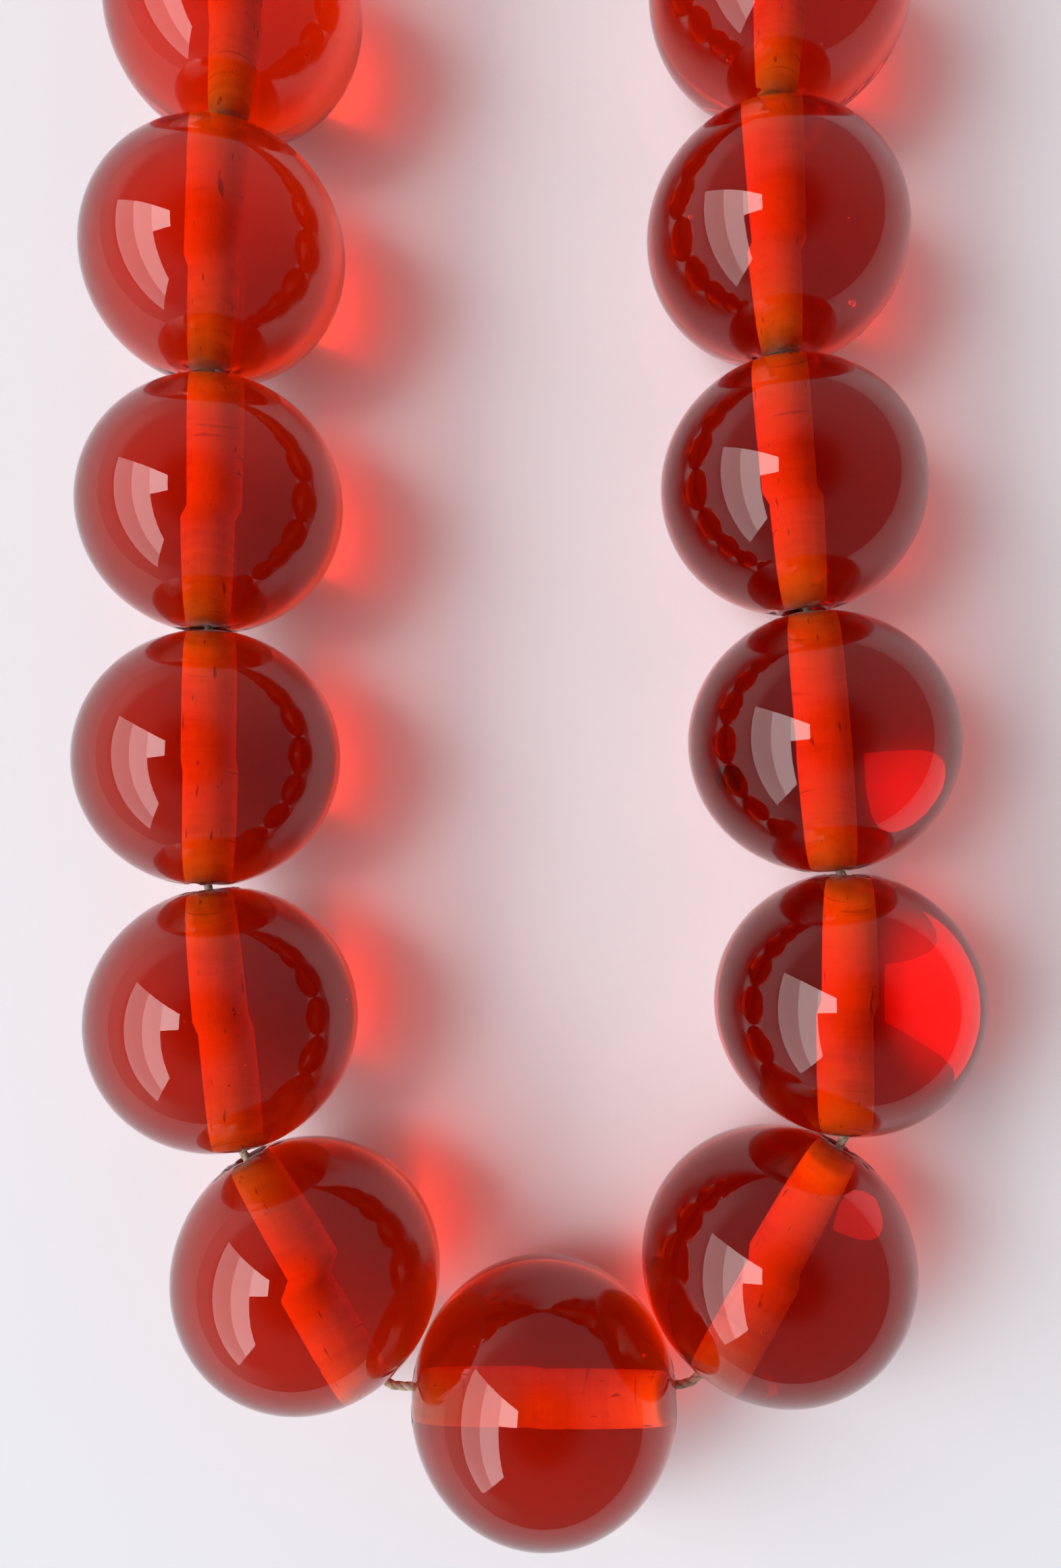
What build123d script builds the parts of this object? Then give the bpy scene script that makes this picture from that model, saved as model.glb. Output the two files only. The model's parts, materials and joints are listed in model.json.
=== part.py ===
from build123d import *
import os
from math import asin, atan2, cos, degrees, hypot, pi, radians, sin, sqrt, tan

# Misbaha prayer beads, lying on a table in a long closed loop.
# Millimetres. +Z is up and the table is z = 0. The loop's bottom bead is at the
# -Y end, the tassel is at the +Y end, and the origin is the middle of the footprint.

# ---- beads -------------------------------------------------------------------
bead_diameter = 30.0
length_ratio = 0.98          # a bead is a little shorter along its bore
size_spread = 0.008          # hand-turned beads differ by about this fraction
size_wave = 2.4              # radians from one bead to the next in that variation
bore_radius = 1.9
rim_radius = 2.7             # where the worn rim of the bore meets the outside
rim_depth = 0.6
bead_gap = 0.25
beads_per_side = 16          # either side of the bottom bead

# Up each side of the loop from the bottom bead, one pair for each bead, in degrees
# from +X: the direction from the bead below it, and the direction of its own bore.
right_side = [
    (30, 61), (74, 89), (95, 94), (96, 95), (93, 92), (89, 88), (86, 85), (84, 84),
    (84, 85), (86, 87), (88, 90), (91, 92), (93, 95), (97, 100), (103, 107), (112, 117),
]
left_side = [
    (153, 119), (109, 97), (94, 90), (90, 89), (90, 88), (86, 87), (91, 93), (96, 97),
    (98, 98), (97, 96), (95, 94), (92, 91), (89, 86), (83, 80), (75, 69), (61, 48),
]

# ---- cord ----------------------------------------------------------------------
cord_diameter = 1.0
cord_height = bead_diameter / 2
strand_spacing = 1.3         # between the two strands inside the leader bead
sharp_turn = 12.0            # degrees between two bores: from here on the cord bends where they cross
largest_cut = 0.25           # how far a gentle arc may pass inside its corner
smallest_radius = 5 * cord_diameter
neck_reach = 6.5             # from the fork to where a strand starts down to the leader
fork_reach = 1.0             # from the fork to where the strands turn into the leader

# ---- leader bead, stopper bead and knot ------------------------------------------
leader_mouth = 2.5           # from the fork to the leader's lower end
leader_length = 74.0
leader_radius = 11.5
leader_bore_radius = 2.0
collar_start = 58.0          # from the leader's lower end to its turned collar
collar_step = 5.0            # each turned bead or hollow of the collar is this long
collar_radius = 8.2
waist_radius = 6.2
small_gap = 0.3
stopper_radius = 8.5
stopper_length = 13.0
stopper_face_radius = 4.0
knot_radius = 3.2
knot_flat = 2.4              # from the knot's centre to its flat face, where the strands end

# ---- tassel ------------------------------------------------------------------------
tassel_slope = 10.0          # degrees down from the knot towards the table
neck_radius = 1.8
neck_length = 5.0
head_radius = 7.0
head_length = 15.0
head_end_radius = 3.4
binding_radius = 6.4
binding_length = 5.0
skirt_top_radius = 5.4
skirt_length = 84.0
skirt_end_width = 30.0
skirt_end_height = 9.0


def heading(angle):
    """The level unit vector at an angle in degrees from +X."""
    return Vector(cos(radians(angle)), sin(radians(angle)), 0)


class Bead:
    """One bead: its name, size, centre, and the direction of its bore."""

    def __init__(self, number, bore_angle, sense):
        self.name = f"bead_{number:02d}"
        self.bore_angle = bore_angle
        self.sense = sense   # +1 where the cord runs through it along its bore angle
        self.radius = bead_diameter / 2 * (1 + size_spread * sin(size_wave * number))
        self.half_length = self.radius * length_ratio
        self.rim_reach = self.half_length * sqrt(1 - (rim_radius / self.radius) ** 2)
        self.centre = Vector(0, 0, self.radius)

    def extent(self, angle):
        """How far the bead reaches from its centre in a level direction."""
        along = abs(cos(radians(angle - self.bore_angle)))
        across = abs(sin(radians(angle - self.bore_angle)))
        rim_slope = rim_radius * length_ratio ** 2 / self.rim_reach
        if across < rim_slope * along:
            return self.rim_reach * along + rim_radius * across
        return hypot(self.half_length * along, self.radius * across)

    def mouth(self, end):
        """The mouth of the bore that the cord goes into (-1) or comes out of (+1)."""
        reach = end * self.sense * self.rim_reach
        point = self.centre + heading(self.bore_angle) * reach
        return Vector(point.X, point.Y, cord_height)

    def flow(self):
        """The direction in which the cord runs through the bead."""
        return heading(self.bore_angle) * self.sense


def lay_side(bottom, side, first_number, sense):
    """The beads up one side of the loop, each resting against the one below it."""
    row = [bottom]
    for place, (link_angle, bore_angle) in enumerate(side):
        below = row[-1]
        bead = Bead(first_number + sense * place, bore_angle, sense)
        spacing = below.extent(link_angle) + bead.extent(link_angle) + bead_gap
        spot = below.centre + heading(link_angle) * spacing
        bead.centre = Vector(spot.X, spot.Y, bead.radius)
        row.append(bead)
    return row[1:]


def crossing(point_a, angle_a, point_b, angle_b):
    """Where two level lines, each given by a point and a direction, cross."""
    across = heading(angle_b + 90)
    travel = (point_b - point_a).dot(across) / heading(angle_a).dot(across)
    return point_a + heading(angle_a) * travel


# ---- layout --------------------------------------------------------------------
bottom_number = beads_per_side + 1
bottom_bead = Bead(bottom_number, 0, -1)
right_row = lay_side(bottom_bead, right_side, bottom_number - 1, -1)
left_row = lay_side(bottom_bead, left_side, bottom_number + 1, 1)
beads = [*reversed(right_row), bottom_bead, *left_row]
first_bead = beads[0]
last_bead = beads[-1]
fork = crossing(
    first_bead.mouth(-1), first_bead.bore_angle, last_bead.mouth(1), last_bead.bore_angle
)

# Distances north of the fork, along the leader, the stopper, the knot and the tassel.
leader_end = leader_mouth + leader_length
stopper_start = leader_end + small_gap
stopper_end = stopper_start + stopper_length
knot_start = stopper_end + small_gap
knot_centre = knot_start + knot_flat
slope_run = cos(radians(tassel_slope))
slope_drop = sin(radians(tassel_slope))
neck_start = knot_radius + small_gap          # from the knot's centre, down the slope
head_start = neck_start + neck_length
binding_start = head_start + head_length
skirt_start = binding_start + binding_length
skirt_top = knot_centre + skirt_start * slope_run
skirt_end = skirt_top + skirt_length

# The origin is the middle of the footprint, so the whole layout moves to it.
east = max(bead.centre.X + bead.extent(0) for bead in beads)
west = min(bead.centre.X - bead.extent(180) for bead in beads)
north = fork.Y + skirt_end
south = bottom_bead.centre.Y - bottom_bead.radius
middle = Vector((east + west) / 2, (north + south) / 2, 0)
for bead in beads:
    bead.centre -= middle
fork -= middle

os.makedirs("parts", exist_ok=True)


def save(piece, name):
    piece.label = name
    export_step(piece, f"parts/{name}.step")


# ---- beads -------------------------------------------------------------------
for bead in beads:
    bore_line = Plane(origin=bead.centre, x_dir=heading(bead.bore_angle), z_dir=(0, 0, 1))
    throat_reach = bead.rim_reach - rim_depth
    rim_angle = degrees(atan2(rim_radius / bead.radius, bead.rim_reach / bead.half_length))
    with BuildPart() as bead_solid:
        with BuildSketch(bore_line):
            with BuildLine():
                for start_angle in (rim_angle, 90):
                    EllipticalCenterArc(
                        (0, 0), bead.half_length, bead.radius, start_angle, arc_size=90 - rim_angle
                    )
                Polyline(
                    (-bead.rim_reach, rim_radius),
                    (-throat_reach, bore_radius),
                    (throat_reach, bore_radius),
                    (bead.rim_reach, rim_radius),
                )
            make_face()
        revolve(axis=Axis(bead.centre, heading(bead.bore_angle)))
    save(bead_solid.part, bead.name)

# ---- cord ----------------------------------------------------------------------
leader_height = leader_radius                 # the leader's belly rests on the table


def on_leader(distance, sideways=0.0):
    """A point on the leader's axis, or beside it, north of the fork."""
    return Vector(fork.X + sideways, fork.Y + distance, leader_height)


def neck(bead, end):
    """Where the slack strand beside a bead starts down towards the leader."""
    towards_bead = (bead.mouth(end) - Vector(fork.X, fork.Y, cord_height)).normalized()
    return Vector(fork.X, fork.Y, cord_height) + towards_bead * neck_reach


route = [
    on_leader(knot_start, strand_spacing / 2),
    on_leader(fork_reach, strand_spacing / 2),
    neck(first_bead, -1),
]
for bead, after in zip(beads, beads[1:]):
    if bead.flow().get_angle(after.flow()) > sharp_turn:
        meeting = crossing(bead.mouth(1), bead.bore_angle, after.mouth(-1), after.bore_angle)
        route.append(meeting)
    else:
        route.append((bead.mouth(1) + after.mouth(-1)) / 2)
route += [
    neck(last_bead, 1),
    on_leader(fork_reach, -strand_spacing / 2),
    on_leader(knot_start, -strand_spacing / 2),
]

corner_radii = []
for before, corner, after in zip(route, route[1:], route[2:]):
    half_turn = radians((corner - before).get_angle(after - corner)) / 2
    shorter_run = min((corner - before).length, (after - corner).length)
    by_runs = 0.45 * shorter_run / tan(half_turn)
    by_bore = largest_cut / (1 / cos(half_turn) - 1)
    corner_radii.append(min(by_runs, max(by_bore, smallest_radius)))
print("cord radii", [round(radius, 1) for radius in corner_radii])

with BuildPart() as cord:
    with BuildLine() as cord_path:
        FilletPolyline(*route, radius=corner_radii)
    with BuildSketch(Plane(origin=cord_path.line @ 0, z_dir=cord_path.line % 0)):
        Circle(cord_diameter / 2)
    sweep()
save(cord.part, "cord")
cord_length = cord_path.wires()[0].length
cord_section = pi * cord_diameter ** 2 / 4
print("cord length", round(cord_length, 1))
print("cord volume", round(cord.part.volume, 2), "expected", round(cord_length * cord_section, 2))

# ---- leader bead -----------------------------------------------------------------
leader_line = Plane(origin=on_leader(0), x_dir=(0, 1, 0), z_dir=(0, 0, 1))
leader_axis = Axis(on_leader(0), (0, 1, 0))
belly = [
    (leader_mouth, waist_radius),
    (leader_mouth + 9, 9.9),
    (leader_mouth + 22, leader_radius),
    (leader_mouth + 41, 9.4),
    (leader_mouth + collar_start, waist_radius),
]
collar_ends = [leader_mouth + collar_start + collar_step * step for step in (0, 1, 2)]
with BuildPart() as leader:
    with BuildSketch(leader_line):
        with BuildLine():
            Spline(*belly)
            for start in (collar_ends[0], collar_ends[2]):
                ThreePointArc(
                    (start, waist_radius),
                    (start + collar_step / 2, collar_radius),
                    (start + collar_step, waist_radius),
                )
            ThreePointArc(
                (collar_ends[1], waist_radius),
                (collar_ends[1] + collar_step / 2, waist_radius - 1),
                (collar_ends[2], waist_radius),
            )
            Polyline(
                (collar_ends[2] + collar_step, waist_radius),
                (leader_end, waist_radius),
                (leader_end, leader_bore_radius),
                (leader_mouth, leader_bore_radius),
                (leader_mouth, waist_radius),
            )
        make_face()
    revolve(axis=leader_axis)
save(leader.part, "leader_bead")

# ---- stopper bead ------------------------------------------------------------------
with BuildPart() as stopper:
    with BuildSketch(leader_line):
        with BuildLine():
            ThreePointArc(
                (stopper_start, stopper_face_radius),
                ((stopper_start + stopper_end) / 2, stopper_radius),
                (stopper_end, stopper_face_radius),
            )
            Polyline(
                (stopper_end, stopper_face_radius),
                (stopper_end, leader_bore_radius),
                (stopper_start, leader_bore_radius),
                (stopper_start, stopper_face_radius),
            )
        make_face()
    revolve(axis=leader_axis)
save(stopper.part, "stopper_bead")

# ---- knot --------------------------------------------------------------------------
knot_face = sqrt(knot_radius ** 2 - knot_flat ** 2)
with BuildPart() as knot:
    with BuildSketch(leader_line):
        with BuildLine():
            ThreePointArc(
                (knot_start, knot_face),
                (knot_centre, knot_radius),
                (knot_centre + knot_radius, 0),
            )
            Polyline(
                (knot_centre + knot_radius, 0),
                (knot_start, 0),
                (knot_start, knot_face),
            )
        make_face()
    revolve(axis=leader_axis)
save(knot.part, "cord_knot")

# ---- tassel --------------------------------------------------------------------------
tassel_direction = Vector(0, slope_run, -slope_drop)
tassel_line = Plane(origin=on_leader(knot_centre), x_dir=tassel_direction, z_dir=(1, 0, 0))
tassel_axis = Axis(on_leader(knot_centre), tassel_direction)

with BuildPart() as tassel_neck:
    with BuildSketch(tassel_line):
        with Locations((neck_start, 0)):
            Rectangle(neck_length, neck_radius, align=(Align.MIN, Align.MIN))
    revolve(axis=tassel_axis)
save(tassel_neck.part, "tassel_neck")

head_middle = head_start + head_length / 2
head_end_angle = degrees(asin(head_end_radius / head_radius))
head_oval_length = head_length / 2 / cos(radians(head_end_angle))
with BuildPart() as tassel_head:
    with BuildSketch(tassel_line):
        with BuildLine():
            for start_angle in (head_end_angle, 90):
                EllipticalCenterArc(
                    (head_middle, 0),
                    head_oval_length,
                    head_radius,
                    start_angle,
                    arc_size=90 - head_end_angle,
                )
            Polyline(
                (head_start, head_end_radius),
                (head_start, 0),
                (binding_start, 0),
                (binding_start, head_end_radius),
            )
        make_face()
    revolve(axis=tassel_axis)
save(tassel_head.part, "tassel_head")

with BuildPart() as tassel_binding:
    with BuildSketch(tassel_line):
        with BuildLine():
            ThreePointArc(
                (binding_start, skirt_top_radius),
                (binding_start + binding_length / 2, binding_radius),
                (skirt_start, skirt_top_radius),
            )
            Polyline(
                (skirt_start, skirt_top_radius),
                (skirt_start, 0),
                (binding_start, 0),
                (binding_start, skirt_top_radius),
            )
        make_face()
    revolve(axis=tassel_axis)
save(tassel_binding.part, "tassel_binding")

skirt_root = on_leader(knot_centre) + tassel_direction * skirt_start
skirt_foot = Vector(fork.X, fork.Y + skirt_end, skirt_end_height / 2)
with BuildPart() as tassel_skirt:
    with BuildSketch(Plane(origin=skirt_root, x_dir=(1, 0, 0), z_dir=tassel_direction)):
        Circle(skirt_top_radius)
    with BuildSketch(Plane(origin=skirt_foot, x_dir=(1, 0, 0), z_dir=(0, 1, 0))):
        Ellipse(skirt_end_width / 2, skirt_end_height / 2)
    loft()
save(tassel_skirt.part, "tassel_skirt")

# Places of the joints and mounts, in millimetres.
print("size", round(east - west, 2), round(north - south, 2))
print("slack beside the last bead", round((last_bead.mouth(1) - neck(last_bead, 1)).length, 2))
print("first to last bead", round((first_bead.centre - last_bead.centre).length, 2))
print("fork", [round(v, 3) for v in fork], "knot", [round(v, 3) for v in on_leader(knot_centre)])
for bead in beads:
    print(bead.name, [round(v, 3) for v in (*bead.centre, bead.bore_angle)])
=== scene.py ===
import json
import math
import random

import bpy
import numpy as np
from mathutils import Matrix, Vector, noise


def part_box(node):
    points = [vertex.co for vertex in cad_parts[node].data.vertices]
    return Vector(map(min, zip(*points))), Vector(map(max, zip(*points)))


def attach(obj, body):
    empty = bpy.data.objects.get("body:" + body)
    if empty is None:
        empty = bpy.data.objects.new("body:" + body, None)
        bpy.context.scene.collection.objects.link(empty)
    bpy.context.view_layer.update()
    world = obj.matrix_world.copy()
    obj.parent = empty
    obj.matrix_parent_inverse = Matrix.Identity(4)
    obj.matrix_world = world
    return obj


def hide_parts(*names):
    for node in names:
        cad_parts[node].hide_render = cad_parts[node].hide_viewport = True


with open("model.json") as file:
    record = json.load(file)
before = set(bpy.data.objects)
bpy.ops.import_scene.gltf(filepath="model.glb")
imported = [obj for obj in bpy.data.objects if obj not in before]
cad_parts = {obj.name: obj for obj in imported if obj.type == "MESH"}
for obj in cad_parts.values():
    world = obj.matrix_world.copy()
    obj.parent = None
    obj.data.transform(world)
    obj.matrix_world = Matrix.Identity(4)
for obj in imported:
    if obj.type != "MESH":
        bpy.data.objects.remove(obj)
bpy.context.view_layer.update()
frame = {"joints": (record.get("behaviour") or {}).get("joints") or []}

# Misbaha prayer beads: transparent cherry-red resin beads on a twisted cord.
# Metres, in the frame of the CAD model. +Z is up, and the table is z = 0.
MM = 0.001

# ---- sizes -------------------------------------------------------------------------
LENGTH_RATIO = 0.98           # a bead is a little shorter along its bore
BORE_RADIUS = 1.9 * MM        # of the drilled hole
RIM_RADIUS = 2.7 * MM         # where the worn rim of the bore meets the outside
RIM_DEPTH = 0.6 * MM
WORN_WIDTH = 2.4 * MM         # the scuffed ring round each mouth
SKIN_DEPTH = 0.03 * MM        # how far the ground skin of a bore reaches into the resin
SKIN_THICKNESS = 0.12 * MM
DRILL_STEP = 0.24 * MM        # how far apart the drillings from the two ends meet
OFFSET_BEAD = 18              # in this one they meet farther off than in the others
OFFSET_FACTOR = 2.4
AROUND = 96                   # vertices round a bead

BUBBLY_BEADS = (17, 19)       # these two show the most air bubbles
MANY_BUBBLES = 5
BUBBLE_RINGS = 7
BUBBLE_AROUND = 12

CORD_RADIUS = 0.5 * MM
CORD_HEIGHT = 15.0 * MM
PLY_TURN = 3.3 * MM           # one full turn of the cord's three plies
STRAND_SPACING = 1.3 * MM     # between the two strands inside the leader
SHARP_TURN = 12.0             # degrees between two bores: from here the cord bends where they cross
HUGGING_TURN = 40.0           # from here it cuts the corner, against the inner side of both bores
HUGGING_REACH = 0.9 * MM
LEADER_GAP = 2.5 * MM         # from the fork of the strands to the leader
NECK_REACH = 6.5 * MM         # from the fork to where a strand starts down to the leader
FORK_REACH = 1.0 * MM         # from the fork to where the strands turn into the leader

LEADER_BORE = 2.0 * MM
LEADER_WAIST = 6.2 * MM
COLLAR_START = 58.0 * MM      # from the leader's wide end to its turned collar
COLLAR_STEP = 5.0 * MM
STOPPER_WAIST = 4.0 * MM

KNOT_RING = 1.35 * MM         # the trefoil of the knot: mean radius, swing of the radius, and depth
KNOT_SWING = 0.95 * MM
KNOT_DEPTH = 1.45 * MM
KNOT_TURN = 0.585             # radians each strand's knot is turned, one strand each way

TASSEL_SLOPE = 10.0           # degrees down from the knot to the table
HEAD_RADIUS = 6.85 * MM
BINDING_TURNS = 6
BINDING_RADIUS = 5.1 * MM
THREADS = 300                 # threads in the skirt of the tassel
THREAD_RADIUS = 0.33 * MM
SKIRT_TOP = 5.0 * MM          # radius of the bundle of threads at the binding
SKIRT_WIDTH = 14.2 * MM       # half the width of the bundle at its cut end, on the table
SKIRT_HEIGHT = 4.0 * MM       # and half its height there
SKIRT_LIFT = 4.5 * MM         # from the table to the middle of the cut end
GOLDEN_ANGLE = 137.508        # degrees: spreads the threads evenly over the bundle

RESIN_IOR = 1.6
RESIN_COLOUR = (0.9868, 0.61, 0.0, 1)
RESIN_DENSITY = 330.0


# ---- materials ---------------------------------------------------------------------
class Nodes:
    """A short way to write a node tree."""

    def __init__(self, tree):
        self.tree = tree
        self.tree.nodes.clear()

    def add(self, kind, **settings):
        node = self.tree.nodes.new(kind)
        for key, value in settings.items():
            setattr(node, key, value)
        return node

    def set(self, node, **values):
        for key, value in values.items():
            node.inputs[key.replace("_", " ")].default_value = value
        return node

    def link(self, out, into):
        self.tree.links.new(out, into)

    def math(self, operation, *values):
        node = self.add("ShaderNodeMath", operation=operation)
        for socket, value in zip(node.inputs, values):
            if isinstance(value, (int, float)):
                socket.default_value = value
            else:
                self.link(value, socket)
        return node.outputs[0]

    def smooth(self, value, low, high):
        """0 below low, 1 above high, and a smooth step between them."""
        node = self.add("ShaderNodeMapRange", interpolation_type="SMOOTHSTEP")
        self.set(node, From_Min=low, From_Max=high)
        self.link(value, node.inputs["Value"])
        return node.outputs["Result"]

    def ramp(self, factor, *stops):
        node = self.add("ShaderNodeValToRGB")
        while len(node.color_ramp.elements) < len(stops):
            node.color_ramp.elements.new(0.5)
        for element, (place, colour) in zip(node.color_ramp.elements, stops):
            element.position = place
            element.color = (*colour, 1)
        self.link(factor, node.inputs["Fac"])
        return node.outputs["Color"]

    def noise(self, vector, scale, detail=3.0, roughness=0.5):
        node = self.add("ShaderNodeTexNoise")
        self.set(node, Scale=scale, Detail=detail, Roughness=roughness)
        self.link(vector, node.inputs["Vector"])
        return node.outputs["Fac"]

    def stretched(self, vector, scale):
        node = self.add("ShaderNodeMapping")
        self.set(node, Scale=scale)
        self.link(vector, node.inputs["Vector"])
        return node.outputs["Vector"]

    def attribute(self, name, output="Fac"):
        return self.add("ShaderNodeAttribute", attribute_name=name).outputs[output]

    def multiply(self, a, b, amount=1.0):
        node = self.add("ShaderNodeMix", data_type="RGBA", blend_type="MULTIPLY")
        self.set(node, Factor=amount)
        self.link(a, node.inputs[6])
        self.link(b, node.inputs[7])
        return node.outputs[2]

    def bump(self, height, strength, distance):
        node = self.add("ShaderNodeBump")
        self.set(node, Strength=strength, Distance=distance)
        self.link(height, node.inputs["Height"])
        return node.outputs["Normal"]


def principled(name):
    """A new material with a Principled shader on its output."""
    material = bpy.data.materials.new(name)
    material.use_nodes = True
    nodes = Nodes(material.node_tree)
    shader = nodes.add("ShaderNodeBsdfPrincipled")
    output = nodes.add("ShaderNodeOutputMaterial")
    nodes.link(shader.outputs[0], output.inputs["Surface"])
    return material, nodes, shader, output


def seeded_position(nodes):
    """Object coordinates moved by the piece's own seed, so that no two beads match."""
    place = nodes.add("ShaderNodeTexCoord").outputs["Object"]
    move = nodes.add("ShaderNodeVectorMath", operation="ADD")
    nodes.link(place, move.inputs[0])
    nodes.link(nodes.attribute("seed", "Vector"), move.inputs[1])
    return move.outputs["Vector"]


def resin_material():
    """Clear cherry-red resin: the depth of the colour comes from absorption."""
    material, nodes, shader, output = principled("bead_resin")
    nodes.set(shader, Base_Color=(1, 0.97, 0.95, 1), IOR=RESIN_IOR)
    nodes.set(shader, Transmission_Weight=1.0, Specular_Tint=(1, 0.92, 0.88, 1))
    place = seeded_position(nodes)
    worn = nodes.attribute("bore")
    handled = nodes.smooth(nodes.noise(place, 120), 0.5, 0.85)
    polish = nodes.math("MULTIPLY_ADD", handled, 0.025, 0.008)
    scuffs = nodes.smooth(nodes.noise(nodes.stretched(place, (1.0, 0.25, 0.25)), 1800, 2), 0.42, 0.6)
    scuffed = nodes.math("MULTIPLY", nodes.math("MULTIPLY", worn, 0.6), scuffs)
    nodes.link(nodes.math("MAXIMUM", polish, scuffed), shader.inputs["Roughness"])
    nodes.link(scuffed, shader.inputs["Sheen Weight"])
    pits = nodes.math("MULTIPLY", nodes.noise(place, 900, 2), 0.02)
    waves = nodes.math("MULTIPLY", nodes.noise(place, 60, 1), 0.4)
    scratches = nodes.math("MULTIPLY", scuffs, worn)
    height = nodes.math("ADD", nodes.math("ADD", pits, waves), nodes.math("MULTIPLY", scratches, 0.3))
    nodes.link(nodes.bump(height, 0.25, 0.0002), shader.inputs["Normal"])
    volume = nodes.add("ShaderNodeVolumeAbsorption")
    nodes.set(volume, Color=RESIN_COLOUR, Density=RESIN_DENSITY)
    nodes.link(volume.outputs[0], output.inputs["Volume"])
    return material


def drilled_material():
    """The ground skin of a drilled bore: pale, with drilling rings, streaks and a few ticks."""
    material, nodes, shader, output = principled("bore_wall")
    place = seeded_position(nodes)
    streak = nodes.noise(nodes.stretched(place, (0.12, 1.0, 1.0)), 500, 4, 0.6)
    ring = nodes.noise(nodes.stretched(place, (1.0, 0.06, 0.06)), 900, 3, 0.6)
    cloud = nodes.noise(place, 140, 2)
    tone = nodes.math("MULTIPLY", nodes.math("ADD", streak, nodes.math("ADD", ring, cloud)), 1 / 3)
    colour = nodes.ramp(tone, (0.36, (0.80, 0.60, 0.45)), (0.5, (1.0, 0.9, 0.8)), (0.6, (1, 1, 0.95)))
    tick_place = nodes.stretched(place, (0.5, 1.6, 1.6))
    ticks = nodes.ramp(nodes.noise(tick_place, 1100, 1), (0.23, (0.4, 0.2, 0.1)), (0.30, (1, 1, 1)))
    scratch_place = nodes.stretched(place, (3.5, 0.25, 0.25))
    scratch = nodes.ramp(nodes.noise(scratch_place, 600, 1), (0.25, (0.5, 0.35, 0.2)), (0.3, (1, 1, 1)))
    marked = nodes.multiply(nodes.multiply(colour, ticks, 0.8), scratch, 0.5)
    nodes.link(marked, shader.inputs["Base Color"])
    nodes.set(shader, Roughness=0.9, Specular_IOR_Level=0.0)
    nodes.link(nodes.bump(tone, 0.5, 0.0002), shader.inputs["Normal"])
    return material


def thread_material(name, dark, light, scale, sheen):
    """Spun thread: fine fibres along it, uneven in colour, and darkened by painted shade in the grooves
    between plies.
    """
    material, nodes, shader, output = principled(name)
    place = nodes.add("ShaderNodeTexCoord").outputs["Object"]
    patches = nodes.noise(place, scale, 4, 0.65)
    shade = nodes.ramp(patches, (0.3, dark), (0.7, light))
    # Painted shade: the ply value darkens the colour to about a third in the grooves between plies and
    # between wound threads; on the skirt's loose threads the same value is only each thread's own random
    # tone.
    depth = nodes.ramp(nodes.attribute("crease_shade_and_tone"), (0.0, (0.35, 0.33, 0.3)), (0.6, (1, 1, 1)))
    nodes.link(nodes.multiply(shade, depth), shader.inputs["Base Color"])
    nodes.set(shader, Roughness=0.75, Sheen_Weight=sheen, Sheen_Roughness=0.4)
    fibres = nodes.noise(place, scale * 5, 3, 0.7)
    nodes.link(nodes.bump(fibres, 0.5, 0.0001), shader.inputs["Normal"])
    return material


def floor_material():
    material, nodes, shader, output = principled("pale_floor")
    place = nodes.add("ShaderNodeTexCoord").outputs["Object"]
    cloud = nodes.noise(place, 6, 3)
    colour = nodes.ramp(cloud, (0.3, (0.88, 0.88, 0.90)), (0.7, (0.92, 0.92, 0.94)))
    nodes.link(colour, shader.inputs["Base Color"])
    nodes.set(shader, Roughness=0.55, Specular_IOR_Level=0.25)
    return material


resin = resin_material()
drilled = drilled_material()
cord_thread = thread_material("cord_fibre", (0.42, 0.32, 0.21), (0.80, 0.69, 0.52), 900, 0.2)
binding_thread = thread_material("binding_thread", (0.40, 0.29, 0.18), (0.76, 0.64, 0.46), 900, 0.2)
red_thread = thread_material("tassel_thread", (0.16, 0.012, 0.012), (0.42, 0.04, 0.035), 500, 0.6)


# ---- mesh helpers ------------------------------------------------------------------
def piece(name, verts, faces, material, body, matrix=None):
    mesh = bpy.data.meshes.new(name)
    mesh.from_pydata(verts, [], faces)
    mesh.materials.append(material)
    mesh.polygons.foreach_set("use_smooth", [True] * len(mesh.polygons))
    mesh.update()
    made = bpy.data.objects.new(name, mesh)
    bpy.context.scene.collection.objects.link(made)
    if matrix is not None:
        made.matrix_world = matrix
    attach(made, body)
    return made


def tube_faces(rings, around, closed=False, capped=False, first=0):
    """Quads between successive rings; closed joins the last ring to the first."""
    faces = []
    for ring in range(rings if closed else rings - 1):
        below = first + ring * around
        above = first + (ring + 1) % rings * around
        for i in range(around):
            j = (i + 1) % around
            faces.append((below + i, below + j, above + j, above + i))
    if capped:
        faces.append(tuple(first + i for i in reversed(range(around))))
        last = first + (rings - 1) * around
        faces.append(tuple(last + i for i in range(around)))
    return faces


def store(mesh, name, values):
    attribute = mesh.attributes.new(name, "FLOAT", "POINT")
    attribute.data.foreach_set("value", values)


def store_seed(mesh, seed):
    attribute = mesh.attributes.new("seed", "FLOAT_VECTOR", "POINT")
    attribute.data.foreach_set("vector", [seed * 0.37, seed * 0.11, seed * 0.23] * len(mesh.vertices))


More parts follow.
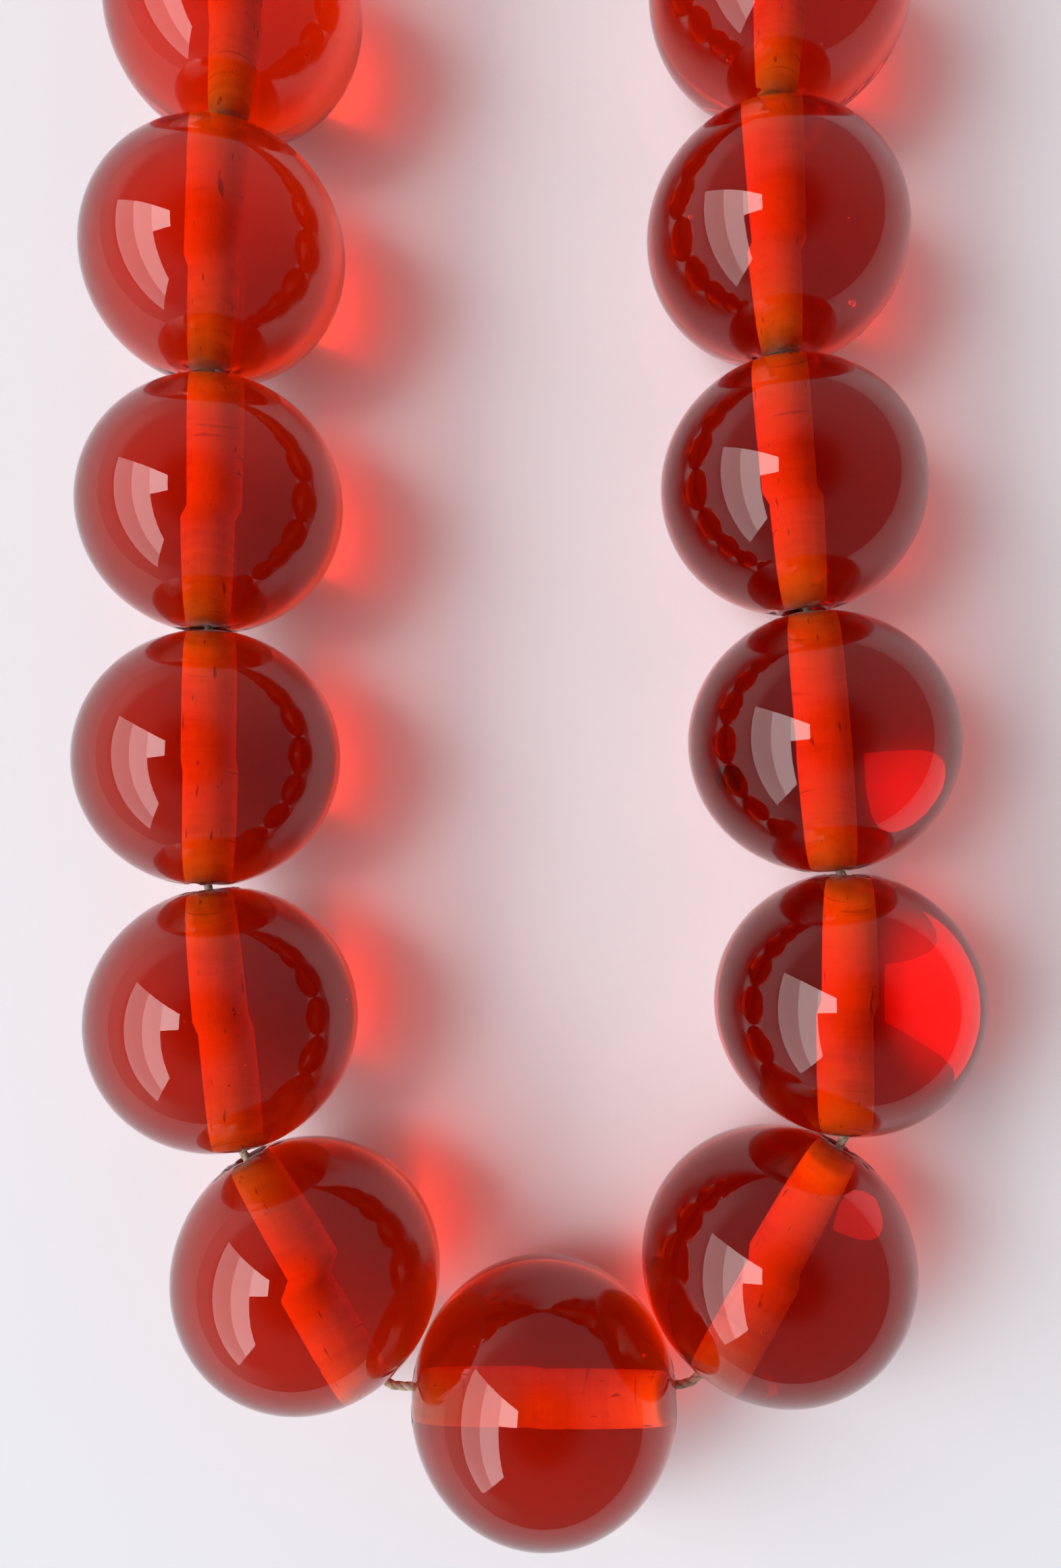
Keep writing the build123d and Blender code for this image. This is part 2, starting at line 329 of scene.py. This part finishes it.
class Tubes:
    """Closed tubes round lines, gathered into one mesh, with how proud each point stands, a value that the
    thread material turns into painted shade in the grooves.
    """

    def __init__(self):
        self.verts = []
        self.faces = []
        self.crease_shade_and_tone = []

    def add(self, line, around, outline):
        """outline(travelled, angle) gives the radius and the ply value of the section: how proud it stands,
        painted as shade in the grooves, or a loose thread's own tone.
        """
        line = np.array(line, dtype=float)
        tangents = np.gradient(line, axis=0)
        tangents /= np.linalg.norm(tangents, axis=1)[:, None]
        side = np.cross(tangents[0], (0.31, 0.2, 0.93))
        sides = []
        for tangent in tangents:
            side = side - tangent * side.dot(tangent)
            side /= np.linalg.norm(side)
            sides.append(side)
        sides = np.array(sides)
        ups = np.cross(tangents, sides)
        steps = np.linalg.norm(np.diff(line, axis=0), axis=1)
        travelled = np.concatenate([[0], np.cumsum(steps)])[:, None]
        angles = (2 * np.pi * np.arange(around) / around)[None, :]
        radius, crease_shade_and_tone = outline(travelled, angles)
        across = np.cos(angles)[..., None] * sides[:, None, :] + np.sin(angles)[..., None] * ups[:, None, :]
        rings = line[:, None, :] + radius[..., None] * across
        self.faces += tube_faces(len(line), around, capped=True, first=len(self.verts))
        self.verts += [tuple(vert) for vert in rings.reshape(-1, 3)]
        self.crease_shade_and_tone += list(crease_shade_and_tone.reshape(-1))

    def piece(self, name, material, body, slot):
        made = piece(name, self.verts, self.faces, material, body)
        store(made.data, "crease_shade_and_tone", self.crease_shade_and_tone)
        return made


def twisted(radius, turn, plies=3, depth=0.2):
    """The outline of a cord of twisted plies: round lobes with a groove between them. The lobe value is
    painted as shade in the grooves.
    """
    def outline(travelled, angles):
        lobe = np.abs(np.cos(plies / 2 * (angles - 2 * np.pi * travelled / turn)))
        return radius * (1 - depth + depth * lobe), lobe
    return outline


def smooth_line(points, spacing):
    """Even points along the smooth NURBS curve that the given points control."""
    data = bpy.data.curves.new("route", "CURVE")
    data.dimensions = "3D"
    spline = data.splines.new("NURBS")
    spline.points.add(len(points) - 1)
    for control, point in zip(spline.points, points):
        control.co = (*point, 1)
    spline.order_u = 3
    spline.use_endpoint_u = True
    spline.resolution_u = 16
    carrier = bpy.data.objects.new("route", data)
    mesh = bpy.data.meshes.new_from_object(carrier)
    line = np.array([vertex.co for vertex in mesh.vertices])
    bpy.data.objects.remove(carrier)
    bpy.data.meshes.remove(mesh)
    steps = np.linalg.norm(np.diff(line, axis=0), axis=1)
    travelled = np.concatenate([[0], np.cumsum(steps)])
    even = np.linspace(0, travelled[-1], max(3, int(travelled[-1] / spacing)))
    return np.stack([np.interp(even, travelled, line[:, axis]) for axis in range(3)], axis=1)


# ---- beads -------------------------------------------------------------------------
class Bead:
    """A bead's place in the frame: its centre, bore direction and size."""

    def __init__(self, joint):
        self.name = joint["child"]
        self.number = int(self.name[-2:])
        low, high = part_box(self.name)
        self.centre = (low + high) / 2
        self.direction = Vector(joint["axis"]).normalized()
        self.radius = (high.z - low.z) / 2
        self.half_length = self.radius * LENGTH_RATIO
        self.rim_reach = self.half_length * math.sqrt(1 - (RIM_RADIUS / self.radius) ** 2)
        self.throat = self.rim_reach - RIM_DEPTH
        self.drill_step = DRILL_STEP * (OFFSET_FACTOR if self.number == OFFSET_BEAD else 1.0)

    def matrix(self):
        """Local X runs along the bore and local Z is up."""
        up = Vector((0, 0, 1))
        across = up.cross(self.direction)
        turn = Matrix((self.direction, across, up)).transposed()
        return Matrix.Translation(self.centre) @ turn.to_4x4()

    def mouth(self, towards):
        """The mouth of the bore that faces a point, at the cord's height."""
        sense = 1 if (towards - self.centre).dot(self.direction) > 0 else -1
        point = self.centre + self.direction * (sense * self.rim_reach)
        return Vector((point.x, point.y, CORD_HEIGHT))

    def bore_centre(self, x):
        """The hole was drilled from both ends, so its two halves don't quite meet."""
        t = x / self.throat
        sense = -1 if t < 0 else 1
        angle = self.number * 2.1 + (0 if t < 0 else 0.6)
        offset = -sense * self.drill_step * (1 - abs(t))
        return offset * math.cos(angle), offset * math.sin(angle)


def circle(x, centre_y, centre_z, radius, around):
    """A ring of vertices round the X axis."""
    ring = []
    for i in range(around):
        angle = 2 * math.pi * i / around
        ring.append((x, centre_y + radius * math.cos(angle), centre_z + radius * math.sin(angle)))
    return ring


def outer_ring(bead, angle):
    """One ring of the outside, slightly out of round, and chipped near the rim; and its wear."""
    ring_radius = bead.radius * math.sin(angle)
    wear = max(0.0, 1 - (ring_radius - RIM_RADIUS) / WORN_WIDTH)
    ring = []
    for spot in circle(bead.half_length * math.cos(angle), 0, 0, ring_radius, AROUND):
        spot = Vector(spot)
        spot += spot.normalized() * noise.noise(spot * 45 + Vector((bead.number, 0, 0))) * 0.045 * MM
        chip = noise.noise(spot * 700 + Vector((0, bead.number, 0)))
        spot.x -= math.copysign(max(0.0, chip - 0.1) * wear * 0.6 * MM, spot.x)
        ring.append(tuple(spot))
    return ring, wear


def add_bubbles(bead, verts, faces, worn):
    """A few tiny air bubbles: closed hollows in the resin."""
    dice = random.Random(bead.number)
    count = MANY_BUBBLES if bead.number in BUBBLY_BEADS else dice.randint(0, 3)
    for _ in range(count):
        radius = dice.uniform(0.06, 0.2) * MM
        reach = dice.uniform(0.35, 0.8) * bead.radius
        angle = dice.uniform(0, 2 * math.pi)
        along = dice.uniform(-0.5, 0.5) * bead.radius
        across = math.sqrt(max(0.0, reach ** 2 - along ** 2))
        middle = Vector((along, across * math.cos(angle), across * math.sin(angle)))
        first = len(verts)
        for ring in range(BUBBLE_RINGS):
            tilt = math.pi * (ring + 0.5) / BUBBLE_RINGS
            for spot in circle(radius * math.cos(tilt), 0, 0, radius * math.sin(tilt), BUBBLE_AROUND):
                verts.append(tuple(middle + Vector(spot)))
                worn.append(0.0)
        faces += tube_faces(BUBBLE_RINGS, BUBBLE_AROUND, capped=True, first=first)


def make_bead(bead):
    """The resin of a bead, turned outside and drilled through, as one closed surface."""
    rim_angle = math.atan2(RIM_RADIUS / bead.radius, bead.rim_reach / bead.half_length)
    end_angle = math.asin(6.0 * MM / bead.radius)
    near_rim = list(np.linspace(rim_angle, end_angle, 10, endpoint=False))
    angles = near_rim + list(np.linspace(end_angle, math.pi - end_angle, 54))
    angles += [math.pi - angle for angle in reversed(near_rim)]
    verts = []
    worn = []
    for angle in angles:
        ring, wear = outer_ring(bead, angle)
        verts += ring
        worn += [0.6 * wear] * AROUND
    bore_steps = np.linspace(-bead.throat, bead.throat, 31)
    for x in bore_steps:
        verts += circle(x, *bead.bore_centre(x), BORE_RADIUS, AROUND)
        worn += [1.0] * AROUND
    faces = [face[::-1] for face in tube_faces(len(angles) + len(bore_steps), AROUND, closed=True)]
    add_bubbles(bead, verts, faces, worn)
    made = piece(bead.name + "_resin", verts, faces, resin, bead.name, bead.matrix())
    store(made.data, "bore", worn)
    store_seed(made.data, float(bead.number))
    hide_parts(bead.name)


def make_bore_skin(name, body, steps, centre_at, radius, matrix, seed):
    """The ground skin of a bore, let a little into the resin round it."""
    verts = []
    for x in steps:
        verts += circle(x, *centre_at(x), radius + SKIN_DEPTH, AROUND)
    for x in reversed(steps):
        verts += circle(x, *centre_at(x), radius + SKIN_DEPTH - SKIN_THICKNESS, AROUND)
    faces = tube_faces(2 * len(steps), AROUND, closed=True)
    skin = piece(name, verts, faces, drilled, body, matrix)
    store_seed(skin.data, seed)


joints = {joint["child"]: joint for joint in frame["joints"]}
beads = [Bead(joints[name]) for name in sorted(joints) if name.startswith("bead_")]
for bead in beads:
    make_bead(bead)
    reach = bead.throat - 0.1 * MM
    bore_steps = list(np.linspace(-reach, reach, 31))
    make_bore_skin(
        bead.name + "_bore_skin", bead.name, bore_steps, bead.bore_centre, BORE_RADIUS,
        bead.matrix(), float(bead.number)
    )


# ---- cord --------------------------------------------------------------------------
leader_low, leader_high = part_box("leader_bead")
knot_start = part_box("cord_knot")[0].y
fork = Vector(((leader_low.x + leader_high.x) / 2, leader_low.y - LEADER_GAP, CORD_HEIGHT))
axis_height = (leader_low.z + leader_high.z) / 2


def on_axis(y, sideways=0.0):
    """A point on the leader's axis, or beside it."""
    return Vector((fork.x + sideways, y, axis_height))


def crossing(point_a, direction_a, point_b, direction_b):
    """Where two level lines cross."""
    across = Vector((-direction_b.y, direction_b.x, 0))
    travel = (point_b - point_a).dot(across) / direction_a.dot(across)
    return point_a + direction_a * travel


def inner_side(bead, neighbour):
    """From a bore's axis to where the cord lies against the inner side of the loop."""
    way = neighbour.centre - bead.centre
    way.z = 0
    across = way - bead.direction * way.dot(bead.direction)
    return across.normalized() * HUGGING_REACH


def neck(bead):
    """Where the slack strand beside an end bead starts down towards the leader."""
    return fork + (bead.mouth(fork) - fork).normalized() * NECK_REACH


def cord_route():
    """From the knot, through the leader and all the beads, and back to the knot."""
    side = STRAND_SPACING / 2
    start = on_axis(knot_start, side)
    end = on_axis(knot_start, -side)
    route = [start, on_axis(fork.y + FORK_REACH, side), neck(beads[0]), beads[0].mouth(fork)]
    for bead, after in zip(beads, beads[1:]):
        leaving = bead.mouth(after.centre)
        entering = after.mouth(bead.centre)
        turn = math.degrees(bead.direction.angle(after.direction))
        turn = min(turn, 180 - turn)
        if turn > HUGGING_TURN:
            route += [leaving + inner_side(bead, after), entering + inner_side(after, bead)]
        elif turn > SHARP_TURN:
            route += [leaving, crossing(leaving, bead.direction, entering, after.direction), entering]
        else:
            route += [leaving, entering]
    route += [beads[-1].mouth(fork), neck(beads[-1]), on_axis(fork.y + FORK_REACH, -side), end]
    return route


cord_tubes = Tubes()
cord_tubes.add(smooth_line(cord_route(), PLY_TURN / 12), 18, twisted(CORD_RADIUS, PLY_TURN))
cord = cord_tubes.piece("cord_twisted", cord_thread, "strand", "cord_fibre")
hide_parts("cord")


# ---- leader bead and stopper bead --------------------------------------------------
def turned_matrix(start):
    """Local X runs north along the leader's axis from a given place, and local Z is up."""
    return Matrix.Translation(start) @ Matrix.Rotation(math.radians(90), 4, "Z")


def lathe(name, outline, length, node, body, seed):
    """A turned resin bead with a drilled bore; outline is a list of (x, radius) points."""
    verts = []
    worn = []
    for x, radius in outline:
        verts += circle(x, 0, 0, radius, AROUND)
        worn += [0.0 if radius > LEADER_BORE + 1.2 * MM else 0.5] * AROUND
    bore_steps = np.linspace(length - 0.4 * MM, 0.4 * MM, 40)
    for x in bore_steps:
        verts += circle(x, 0, 0, LEADER_BORE, AROUND)
        worn += [1.0] * AROUND
    faces = tube_faces(len(outline) + len(bore_steps), AROUND, closed=True)
    matrix = turned_matrix(on_axis(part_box(node)[0].y))
    made = piece(name + "_resin", verts, faces, resin, body, matrix)
    store(made.data, "bore", worn)
    store_seed(made.data, seed)
    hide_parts(node)
    skin_steps = list(np.linspace(0.5 * MM, length - 0.5 * MM, 40))
    make_bore_skin(name + "_bore_skin", body, skin_steps, centred, LEADER_BORE, matrix, seed)


def centred(x):
    return 0.0, 0.0


def rounded_end(x, inward, radius):
    """From a bore's mouth out over a flat end with softened edges."""
    mouth = [(0.0, LEADER_BORE + 0.5 * MM), (0.0, LEADER_BORE + 0.7 * MM)]
    edge = [(0.0, radius - 0.5 * MM), (0.06 * MM, radius - 0.2 * MM), (0.25 * MM, radius)]
    return [(x + inward * step, reach) for step, reach in mouth + edge]


def leader_outline(length):
    """A long belly, fine turned lines at its foot, and a collar of two beads and a hollow."""
    belly_x = np.array([0, 9, 22, 41, 58]) * MM
    belly_radius = np.array([6.2, 9.9, 11.5, 9.4, 6.2]) * MM
    belly = np.polyfit(belly_x / COLLAR_START, belly_radius, 4)
    outline = rounded_end(0.0, 1, LEADER_WAIST)
    for x in np.linspace(0.5 * MM, COLLAR_START, 150):
        line = sum(math.exp(-((x - place) / (0.3 * MM)) ** 2) for place in (4 * MM, 6 * MM, 53 * MM))
        radius = float(np.polyval(belly, x / COLLAR_START))
        outline.append((x, min(radius, 11.5 * MM) - 0.3 * MM * line))
    for step, swell in enumerate((2.0 * MM, -1.0 * MM, 2.0 * MM)):
        for t in np.linspace(0.03, 0.97, 20):
            bulge = math.sqrt(max(0.0, 1 - (2 * t - 1) ** 2)) if swell > 0 else 1 - (2 * t - 1) ** 2
            outline.append((COLLAR_START + COLLAR_STEP * (step + t), LEADER_WAIST + swell * bulge))
    outline += rounded_end(length, -1, LEADER_WAIST)[::-1]
    return outline


def stopper_outline(length):
    """A small squat bead with flat ends."""
    arc_radius = 6.94 * MM
    arc_height = 1.56 * MM
    outline = rounded_end(0.0, 1, STOPPER_WAIST)
    for x in np.linspace(0.4 * MM, length - 0.4 * MM, 48):
        outline.append((x, arc_height + math.sqrt(arc_radius ** 2 - (x - length / 2) ** 2)))
    outline += rounded_end(length, -1, STOPPER_WAIST)[::-1]
    return outline


stopper_low, stopper_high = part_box("stopper_bead")
leader_length = leader_high.y - leader_low.y
stopper_length = stopper_high.y - stopper_low.y
lathe("leader", leader_outline(leader_length), leader_length, "leader_bead", "leader", 40.0)
lathe("stopper", stopper_outline(stopper_length), stopper_length, "stopper_bead", "stopper", 41.0)


# ---- knot --------------------------------------------------------------------------
def knot_line(side):
    """An overhand knot in one strand: a trefoil round the leader's axis."""
    points = [on_axis(knot_start - 0.2 * MM, side)]
    apart = math.copysign(KNOT_TURN, side)
    for step in range(5, 44):
        turn = 2 * math.pi * step / 48
        reach = KNOT_RING + KNOT_SWING * math.cos(3 * turn)
        points.append(knot_centre + Vector((
            reach * math.cos(2 * turn + apart),
            KNOT_DEPTH * math.sin(3 * turn) + side * 0.6,
            reach * math.sin(2 * turn + apart),
        )))
    points.append(knot_centre + Vector((side * 0.3, 2.6 * MM, 0)))
    points.append(knot_centre + Vector((side * 0.3, 3.6 * MM, -0.3 * MM)))
    return smooth_line(points, 0.12 * MM)


knot_centre = on_axis(knot_start + 2.4 * MM)
knot_tubes = Tubes()
for side in (-STRAND_SPACING / 2, STRAND_SPACING / 2):
    knot_tubes.add(knot_line(side), 18, twisted(CORD_RADIUS, PLY_TURN))
knot = knot_tubes.piece("knotted_cord", cord_thread, "strand", "cord_fibre")
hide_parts("cord_knot")


# ---- tassel ------------------------------------------------------------------------
# Distances from the knot's centre, down the slope of the tassel.
NECK_START = 3.5 * MM
HEAD_START = 8.5 * MM
BINDING_START = 23.5 * MM
SKIRT_START = 28.5 * MM
tassel_way = Vector((0, math.cos(math.radians(TASSEL_SLOPE)), -math.sin(math.radians(TASSEL_SLOPE))))
tassel_up = Vector((1, 0, 0)).cross(tassel_way)


def down_tassel(distance, sideways=0.0, upward=0.0):
    return knot_centre + tassel_way * distance + Vector((sideways, 0, 0)) + tassel_up * upward


def tassel_line(start, end, count):
    return [down_tassel(distance) for distance in np.linspace(start, end, count)]


def wound_head(travelled, angles):
    """The outline of the head: an oval under fine threads that slant round it, with painted shade between
    the threads.
    """
    t = 2 * travelled / (BINDING_START - HEAD_START) - 1
    oval = HEAD_RADIUS * np.sqrt(np.clip(1 - (t * 0.874) ** 2, 0, 1))
    thread = np.abs(np.cos(38 * (angles + 0.5 * t)))
    return oval * (0.972 + 0.028 * thread), thread


def binding_line():
    """Turns of cord wound tight round the top of the skirt, with both ends tucked in."""
    points = []
    for t in np.linspace(0, 1, BINDING_TURNS * 40):
        angle = 2 * math.pi * BINDING_TURNS * t
        tuck = max(0.0, 1 - 12 * min(t, 1 - t))
        reach = BINDING_RADIUS + 0.8 * MM * (1 - (2 * t - 1) ** 2) - 1.2 * MM * tuck
        along = BINDING_START + (0.5 + 4.0 * t) * MM
        points.append(down_tassel(along, reach * math.cos(angle), reach * math.sin(angle)))
    return points


def skirt_thread(number, dice):
    """One thread of the skirt, from the binding down to its cut end on the table."""
    reach = math.sqrt((number + 0.5) / THREADS)
    angle = number * math.radians(GOLDEN_ANGLE)
    across = reach * math.cos(angle)
    upward = reach * math.sin(angle)
    start = down_tassel(SKIRT_START - 1.0 * MM, SKIRT_TOP * across, SKIRT_TOP * upward)
    end = Vector((
        fork.x + SKIRT_WIDTH * across,
        skirt_end - dice.uniform(0.3, 3.0) * MM,
        SKIRT_LIFT + SKIRT_HEIGHT * upward,
    ))
    wave = dice.uniform(0.15, 0.5) * MM
    phase = dice.uniform(0, 2 * math.pi)
    bend = dice.uniform(-0.9, 0.9) * MM
    line = []
    for t in np.linspace(0, 1, 14):
        spot = start.lerp(end, t)
        spot.x += t * wave * math.sin(9 * t + phase) + bend * math.sin(math.pi * t) * t
        spot.z += t * wave * 0.5 * math.cos(7 * t + phase)
        spot.z = max(spot.z, THREAD_RADIUS * 1.05)
        line.append(spot)
    return line


def even_thread(shade):
    def outline(travelled, angles):
        return THREAD_RADIUS + 0 * travelled * angles, shade + 0 * travelled * angles
    return outline


skirt_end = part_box("tassel_skirt")[1].y
neck_tubes = Tubes()
neck_tubes.add(tassel_line(NECK_START, HEAD_START + 0.5 * MM, 24), 40, twisted(1.75 * MM, 7 * MM, 5, 0.22))
neck_rope = neck_tubes.piece("tassel_neck_rope", red_thread, "tassel", "tassel_thread")
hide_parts("tassel_neck")

head_tubes = Tubes()
head_tubes.add(tassel_line(HEAD_START, BINDING_START, 60), 304, wound_head)
head = head_tubes.piece("tassel_head_threads", red_thread, "tassel", "tassel_thread")
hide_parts("tassel_head")

binding_tubes = Tubes()
binding_tubes.add(binding_line(), 12, twisted(0.45 * MM, 2.6 * MM))
binding = binding_tubes.piece("tassel_binding_cord", binding_thread, "tassel", "binding_thread")
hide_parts("tassel_binding")

dice = random.Random(7)
skirt_tubes = Tubes()
core_line = tassel_line(BINDING_START - 0.2 * MM, SKIRT_START, 6)
skirt_tubes.add(core_line, 48, twisted(4.75 * MM, 400 * MM, 24, 0.06))
for number in range(THREADS):
    skirt_tubes.add(skirt_thread(number, dice), 6, even_thread(dice.uniform(0.25, 1.0)))
skirt = skirt_tubes.piece("tassel_skirt_threads", red_thread, "tassel", "tassel_thread")
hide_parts("tassel_skirt")


# ---- stage, camera and light -------------------------------------------------------
FLOOR_HALF = 3.0
CAMERA_PLACE = (0.00751, -0.27214, 0.16327)
CAMERA_TILT = (math.radians(2.764), math.radians(1.108), 0)
CAMERA_LENS = 30.07           # millimetres, for a frame 36 mm high

corners = [(-FLOOR_HALF, -FLOOR_HALF, 0), (FLOOR_HALF, -FLOOR_HALF, 0)]
corners += [(FLOOR_HALF, FLOOR_HALF, 0), (-FLOOR_HALF, FLOOR_HALF, 0)]
floor_mesh = bpy.data.meshes.new("floor")
floor_mesh.from_pydata(corners, [], [(0, 1, 2, 3)])
floor_mesh.materials.append(floor_material())
floor = bpy.data.objects.new("floor", floor_mesh)
bpy.context.scene.collection.objects.link(floor)

camera_data = bpy.data.cameras.new("camera")
camera_data.sensor_fit = "VERTICAL"
camera_data.sensor_height = 36
camera_data.lens = CAMERA_LENS
camera_data.clip_start = 0.01
camera = bpy.data.objects.new("camera", camera_data)
camera.location = CAMERA_PLACE
camera.rotation_euler = CAMERA_TILT
bpy.context.scene.collection.objects.link(camera)
bpy.context.scene.camera = camera

WINDOW_DISTANCE = 2.6
WINDOW_COLOUR = (0.94, 0.97, 1.0)
window_middle = Vector((0, -0.26, 0))


def window_pane(name, south, north, bottom, top, radiance):
    """A pane of the tall window on the left, placed in window distances, shining straight in."""
    light = bpy.data.lights.new(name, "AREA")
    light.shape = "RECTANGLE"
    light.size = (top - bottom) * WINDOW_DISTANCE
    light.size_y = (north - south) * WINDOW_DISTANCE
    light.energy = radiance * math.pi * light.size * light.size_y
    light.color = WINDOW_COLOUR
    pane = bpy.data.objects.new(name, light)
    pane.location = window_middle + WINDOW_DISTANCE * Vector((-1, (south + north) / 2, (bottom + top) / 2))
    pane.rotation_euler = (0, math.radians(-90), 0)
    bpy.context.scene.collection.objects.link(pane)


window_pane("window_low", -1.4, 0.5, 0.34, 0.75, 2.4)
window_pane("window_middle", -1.4, 0.5, 0.75, 1.35, 4.4)
window_pane("window_high", -0.1, 0.5, 1.35, 2.6, 6.4)

FILL_SIZE = 2.0
FILL_RADIANCE = 1.3
FILL_SIDE = 1.2               # metres towards the window from the middle of the beads
FILL_HEIGHT = 2.6
fill_light = bpy.data.lights.new("fill_above", "AREA")
fill_light.size = FILL_SIZE
fill_light.energy = FILL_RADIANCE * math.pi * FILL_SIZE ** 2
fill = bpy.data.objects.new("fill_above", fill_light)
fill.location = window_middle + Vector((-FILL_SIDE, 0, FILL_HEIGHT))
fill.rotation_euler = (0, -math.atan2(FILL_SIDE, FILL_HEIGHT), 0)
fill.visible_glossy = False    # it evens out the floor, and doesn't shine in the beads
fill.visible_transmission = False
bpy.context.scene.collection.objects.link(fill)


def room_light():
    """Pale walls: brightest low under the window and on the far side, and dark overhead."""
    world = bpy.data.worlds.new("studio")
    world.use_nodes = True
    nodes = Nodes(world.node_tree)
    way = nodes.add("ShaderNodeSeparateXYZ")
    nodes.link(nodes.add("ShaderNodeTexCoord").outputs["Generated"], way.inputs[0])
    x, y, z = way.outputs
    far = nodes.math("MULTIPLY", nodes.smooth(y, -0.2, 0.8), nodes.smooth(z, 0.95, 0.5))
    low = nodes.math("MULTIPLY", nodes.smooth(x, -0.1, -0.8), nodes.smooth(z, 0.4, 0.2))
    glow = nodes.math("MULTIPLY_ADD", far, 0.12, 0.25)
    glow = nodes.math("MULTIPLY_ADD", low, 0.5, glow)
    walls = nodes.math("MULTIPLY_ADD", nodes.smooth(z, 0.96, 0.75), 0.88, 0.12)
    glow = nodes.math("MULTIPLY", glow, walls)
    background = nodes.add("ShaderNodeBackground")
    nodes.set(background, Color=(0.97, 0.96, 1.0, 1))
    nodes.link(glow, background.inputs["Strength"])
    output = nodes.add("ShaderNodeOutputWorld")
    nodes.link(background.outputs[0], output.inputs["Surface"])
    return world


bpy.context.scene.world = room_light()
view = bpy.context.scene.view_settings
view.view_transform = "Standard"
view.exposure = 0.08
view.gamma = 0.93
bpy.context.scene.cycles.blur_glossy = 0.0    # keeps the light that the beads gather in focus
